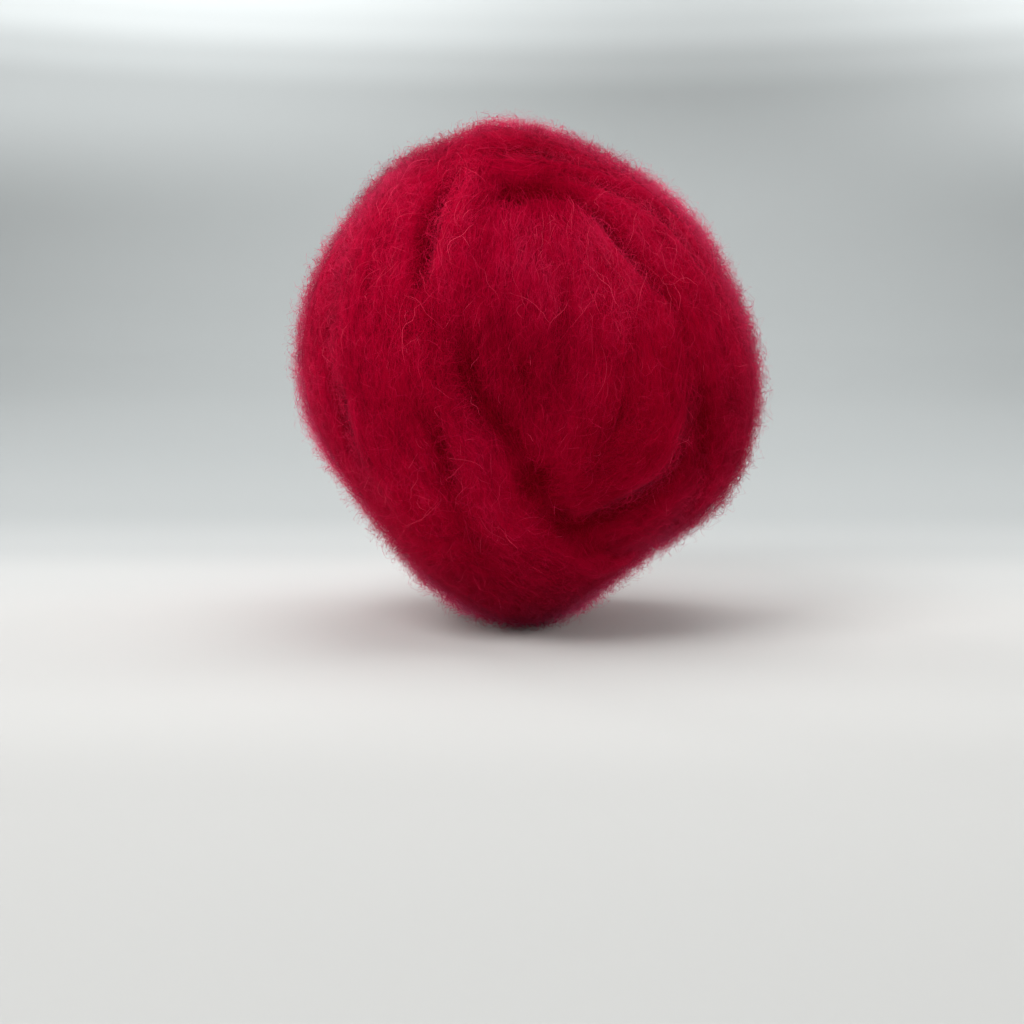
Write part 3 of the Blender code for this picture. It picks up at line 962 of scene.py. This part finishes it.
class WOOL_OT_wind_body(bpy.types.Operator):
    """Wind the ball's body, with each wrap's strands in relief"""

    bl_idname = "wool.wind_body"
    bl_label = "Wind Body"

    def execute(self, context):
        surface = skin()
        body = build_mesh("wound_wool", in_frame(surface.points), surface.quads,
                          body_material(context.scene.wool_settings))
        # A face keeps to the map of one wrap, and to one side of the place where the distance along it starts
        owner = surface.owner[surface.quads].max(axis=1)
        across = surface.across[owner[:, None], surface.quads] + MAP_STEP * owner[:, None]
        along = surface.along[owner[:, None], surface.quads]
        lengths = np.array([band.length for band in winding()])[owner][:, None]
        gap = along - along[:, :1]
        along = along - lengths * np.round(gap / lengths)
        add_map(body, "Flow", np.stack((across, along), axis=-1).reshape(-1, 2))
        # Painted shade in furrows, painted light on ridges, tone, and patches of painted light and shade
        shade = BODY_SHADE - FURROW_PAINTED_SHADE * surface.furrow + mottle_and_painted_light(surface.points)
        add_values(body, "shade", shade)
        attach(body)
        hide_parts("wound_ball")
        return {"FINISHED"}


class WOOL_OT_comb_fibres(bpy.types.Operator):
    """Lay the combed fibres along every wrap, in two layers"""

    bl_idname = "wool.comb_fibres"
    bl_label = "Comb Fibres"

    def execute(self, context):
        settings = context.scene.wool_settings
        material = fibre_material("combed_wool", settings.deep_sheen, settings.pale_colour, settings)
        make_coats(COMBED, material)
        return {"FINISHED"}


class WOOL_OT_raise_fuzz(bpy.types.Operator):
    """Raise the short fuzz that stands off the surface"""

    bl_idname = "wool.raise_fuzz"
    bl_label = "Raise Fuzz"

    def execute(self, context):
        settings = context.scene.wool_settings
        material = fibre_material("loose_wool", settings.sheen, settings.pale_colour, settings)
        make_coats(FUZZ, material)
        return {"FINISHED"}


class WOOL_OT_scatter_curls(bpy.types.Operator):
    """Scatter loose single fibres over the wraps, long curled ones and short ones"""

    bl_idname = "wool.scatter_curls"
    bl_label = "Scatter Curls"

    def execute(self, context):
        settings = context.scene.wool_settings
        # The pale end of these fibres is the painted highlight colour
        material = fibre_material("single_fibres", settings.sheen, settings.painted_highlight_colour, settings)
        make_coats(LOOSE, material)
        return {"FINISHED"}


# The room in metres: a floor just below the ball, which bends up into a round wall, and its cuts
FLOOR_GAP = 0.0003
FLOOR_RADII = (0.0, 0.03, 0.1, 0.3)
FLOOR_EDGE = 0.7
BEND_RADIUS = 0.35
BEND_CUTS = 24
WALL_TOP = 1.6
ROOM_SIDES = 96

# The paper from the camera's side to the top of the wall: the place, which is the distance back plus CLIMB
# times the height in metres, the lightness there, and how far its tint has gone to the wall's. The lightness
# is
# painted light and shade: darker near the camera and behind the ball, and paler at the top of the wall.
Paper = namedtuple("Paper", "place lightness wall")
CLIMB = 4.0
PAPER_PAINTED_LIGHT = (
    Paper(-0.21, 0.52, 0.0), Paper(-0.14, 0.53, 0.0), Paper(-0.07, 0.59, 0.0), Paper(0.00, 0.60, 0.0),
    Paper(0.045, 0.565, 0.3), Paper(0.09, 0.49, 0.7), Paper(0.15, 0.43, 0.9), Paper(0.30, 0.413, 1.0),
    Paper(0.46, 0.42, 1.0), Paper(0.74, 0.458, 1.0), Paper(0.91, 0.447, 1.0), Paper(1.10, 0.438, 1.0),
    Paper(1.27, 0.437, 1.0), Paper(1.39, 0.437, 1.0), Paper(1.50, 0.424, 1.0), Paper(1.59, 0.50, 1.0),
    Paper(1.69, 0.65, 1.0), Paper(1.77, 0.73, 1.0),
)
PAPER_RUN = (-0.30, 1.90)

# Painted light on the wall: the paper's colour is made uneven. From the first of two heights in metres to the
# second, it comes to swing across the wall by a share, in waves of a length in metres with a peak beside the
# middle, and to rise to both sides, by a share for each square metre. Lower down it falls off to both sides.
# Past SIDE_REACH metres from the middle, neither goes on.
SWING = 0.20
SWING_HEIGHTS = (0.06, 0.14)
SWING_LENGTH = 0.588
SWING_PEAK = -0.16
SIDE_RISE = 3.2
FALL_OFF = 2.6
SIDE_REACH = 0.30


def painted_wall_light_group():
    """Painted light for each place: 1 + high * (swing * wave + rise * x * x) - (1 - high) * fall * x * x."""
    group, given, result = new_group("uneven_wall", (
        ("Place", "INPUT", "NodeSocketVector", None), ("Factor", "OUTPUT", "NodeSocketFloat", None)))
    parts = add_node(group, "SeparateXYZ", {"Vector": given.outputs["Place"]})
    across = parts.outputs["X"]
    ramp = add_node(group, "MapRange", {
        "Value": parts.outputs["Z"], "From Min": SWING_HEIGHTS[0], "From Max": SWING_HEIGHTS[1]},
        interpolation_type="SMOOTHSTEP")
    high = ramp.outputs["Result"]
    turn = 2.0 * np.pi / SWING_LENGTH
    wave = math_node(group, "COSINE", math_node(group, "MULTIPLY_ADD", across, turn, -turn * SWING_PEAK))
    square = math_node(group, "MINIMUM", math_node(group, "MULTIPLY", across, across), SIDE_REACH**2)
    slope = math_node(group, "MULTIPLY_ADD", high, SIDE_RISE + FALL_OFF, -FALL_OFF)
    sides = math_node(group, "MULTIPLY_ADD", square, slope, 1.0)
    swing = math_node(group, "MULTIPLY", wave, high)
    fill(group, result, {"Factor": math_node(group, "MULTIPLY_ADD", swing, SWING, sides)})
    return group


def studio_paper(settings):
    """Pale paper with painted light and shade in its colour: darker behind the ball, paler again at the top
    of the wall, and uneven along the wall.
    """
    material, tree, shader = new_material("studio_paper")
    place = add_node(tree, "TexCoord").outputs["Object"]
    parts = add_node(tree, "SeparateXYZ", {"Vector": place})
    run = add_node(tree, "MapRange", {
        "Value": math_node(tree, "MULTIPLY_ADD", parts.outputs["Z"], CLIMB, parts.outputs["Y"]),
        "From Min": PAPER_RUN[0], "From Max": PAPER_RUN[1]})
    ramp = add_node(tree, "ValToRGB", {"Fac": run.outputs["Result"]})
    ramp.color_ramp.interpolation = "EASE"
    stops = ramp.color_ramp.elements
    while len(stops) < len(PAPER_PAINTED_LIGHT):
        stops.new(0.5)
    for stop, row in zip(stops, PAPER_PAINTED_LIGHT):
        tint = np.array(settings.floor_tint) * (1.0 - row.wall) + np.array(settings.wall_tint) * row.wall
        stop.position = (row.place - PAPER_RUN[0]) / (PAPER_RUN[1] - PAPER_RUN[0])
        stop.color = (*(tint * row.lightness), 1.0)
    painted_light = add_node(tree, "Group", {"Place": place}, node_tree=painted_wall_light_group())
    # The paper's painted light: the ramp's colour times the uneven factor
    lit = add_node(tree, "VectorMath", {
        0: ramp.outputs["Color"], "Scale": painted_light.outputs["Factor"]}, operation="SCALE")
    fill(tree, shader, {"Base Color": lit.outputs["Vector"], "Roughness": 0.9, "Specular IOR Level": 0.2})
    return material


def studio_room(settings):
    """A floor that bends up into a round wall: a profile turned about the vertical through the ball."""
    bend = np.linspace(0.0, np.pi / 2.0, BEND_CUTS + 1)
    radii = np.concatenate((
        FLOOR_RADII, FLOOR_EDGE + BEND_RADIUS * np.sin(bend), (FLOOR_EDGE + BEND_RADIUS,)))
    heights = np.concatenate((
        np.zeros(len(FLOOR_RADII)), BEND_RADIUS * (1.0 - np.cos(bend)), (WALL_TOP,))) - FLOOR_GAP
    turns = np.linspace(0.0, 2.0 * np.pi, ROOM_SIDES + 1)[:-1]
    points = np.stack((
        radii[:, None] * np.cos(turns), radii[:, None] * np.sin(turns),
        np.repeat(heights[:, None], ROOM_SIDES, axis=1),
    ), axis=-1)
    index = np.arange(len(radii) * ROOM_SIDES).reshape(-1, ROOM_SIDES)
    after = np.roll(index, -1, axis=1)
    quads = np.stack((index[:-1], index[1:], after[1:], after[:-1]), axis=-1).reshape(-1, 4)
    return build_mesh("studio_room", points.reshape(-1, 3), quads, studio_paper(settings))


# Square lamps: places and sides in metres, spreads in degrees, and the setting that holds the power
Lamp = namedtuple("Lamp", "name place target side spread power")
BALL_MIDDLE = (0.0, 0.0, FLAT_DROP * MM)
WALL_MIDDLE = (0.0, 1.02, 0.22)
LAMPS = (
    Lamp("key_light", (-0.40, -0.45, 0.70), BALL_MIDDLE, 0.45, 180.0, "key_power"),
    Lamp("top_light", (0.05, 0.15, 0.95), BALL_MIDDLE, 0.80, 180.0, "top_power"),
    Lamp("left_light", (-0.60, 0.18, 0.20), BALL_MIDDLE, 0.30, 110.0, "side_power"),
    Lamp("right_light", (0.60, 0.18, 0.20), BALL_MIDDLE, 0.30, 110.0, "side_power"),
    Lamp("edge_light", (-0.45, 0.50, 0.50), BALL_MIDDLE, 0.15, 20.0, "edge_power"),
    Lamp("wall_light", (0.00, 0.55, 0.75), WALL_MIDDLE, 0.50, 180.0, "wall_power"),
)
SKY_TINT = (0.95, 0.98, 1.0)


def hang_lamp(row, settings):
    """A lamp that faces its target and isn't seen itself."""
    lamp = bpy.data.lights.new(row.name, "AREA")
    lamp.size = row.side
    lamp.energy = getattr(settings, row.power)
    lamp.spread = np.radians(row.spread)
    thing = bpy.data.objects.new(row.name, lamp)
    thing.location = row.place
    away = np.array(row.place) - np.array(row.target)
    flat = np.hypot(away[0], away[1])
    thing.rotation_euler = (np.arctan2(flat, away[2]), 0.0, np.arctan2(away[0], -away[1]))
    thing.visible_camera = False
    bpy.context.scene.collection.objects.link(thing)


# The picture's side in pixels, the camera's sensor in millimetres, and the nearest it sees in metres
IMAGE_SIDE = 1024.0
SENSOR = 36.0
NEAREST = 0.01


def aim_camera(settings):
    """A camera that sees the ball's middle at a set place in the picture, by turning and not by shift."""
    middle = winding_middle() * MM
    rise = np.radians(settings.rise)
    focal = settings.lens / SENSOR * IMAGE_SIDE
    right = np.arctan((settings.across_pixels - IMAGE_SIDE / 2.0) / focal)
    up = np.arctan((IMAGE_SIDE / 2.0 - settings.down_pixels) / focal)
    camera = bpy.data.cameras.new("camera")
    camera.lens = settings.lens
    camera.sensor_width = SENSOR
    camera.clip_start = NEAREST
    thing = bpy.data.objects.new("camera", camera)
    thing.location = middle + settings.distance * np.array((0.0, -np.cos(rise), np.sin(rise)))
    thing.rotation_euler = (np.pi / 2.0 - rise - up, 0.0, right)
    bpy.context.scene.collection.objects.link(thing)
    bpy.context.scene.camera = thing


class WOOL_OT_set_studio(bpy.types.Operator):
    """Set up the pale room, the soft lights and the camera"""

    bl_idname = "wool.set_studio"
    bl_label = "Set Studio"

    def execute(self, context):
        settings = context.scene.studio_settings
        studio_room(settings)
        for row in LAMPS:
            hang_lamp(row, settings)
        world = bpy.data.worlds.new("studio_sky")
        world.use_nodes = True
        sky = world.node_tree.nodes["Background"]
        sky.inputs["Color"].default_value = (*SKY_TINT, 1.0)
        sky.inputs["Strength"].default_value = settings.sky
        context.scene.world = world
        context.scene.view_settings.view_transform = "Standard"
        aim_camera(settings)
        return {"FINISHED"}


class WOOL_PT_panel(bpy.types.Panel):
    """Buttons for each step of the ball, and its settings"""

    bl_idname = "WOOL_PT_panel"
    bl_label = "Wool Roving Ball"
    bl_space_type = "VIEW_3D"
    bl_region_type = "UI"
    bl_category = "Wool"

    def draw(self, context):
        layout = self.layout
        for settings in (context.scene.wool_settings, context.scene.studio_settings):
            for name in settings.__annotations__:
                layout.prop(settings, name)
        for step in STEPS:
            layout.operator(step.bl_idname)


STEPS = (
    WOOL_OT_wind_body, WOOL_OT_comb_fibres, WOOL_OT_raise_fuzz, WOOL_OT_scatter_curls, WOOL_OT_set_studio)
CLASSES = (WoolSettings, StudioSettings, *STEPS, WOOL_PT_panel)


def register():
    """Add the classes and their settings to Blender."""
    for kind in CLASSES:
        bpy.utils.register_class(kind)
    bpy.types.Scene.wool_settings = PointerProperty(type=WoolSettings)
    bpy.types.Scene.studio_settings = PointerProperty(type=StudioSettings)


def unregister():
    """Take the classes and their settings out of Blender."""
    del bpy.types.Scene.studio_settings
    del bpy.types.Scene.wool_settings
    for kind in reversed(CLASSES):
        bpy.utils.unregister_class(kind)


def main():
    """Build every piece and the studio."""
    register()
    bpy.ops.wool.wind_body()
    bpy.ops.wool.comb_fibres()
    bpy.ops.wool.raise_fuzz()
    bpy.ops.wool.scatter_curls()
    bpy.ops.wool.set_studio()


if __name__ == "__main__":
    main()
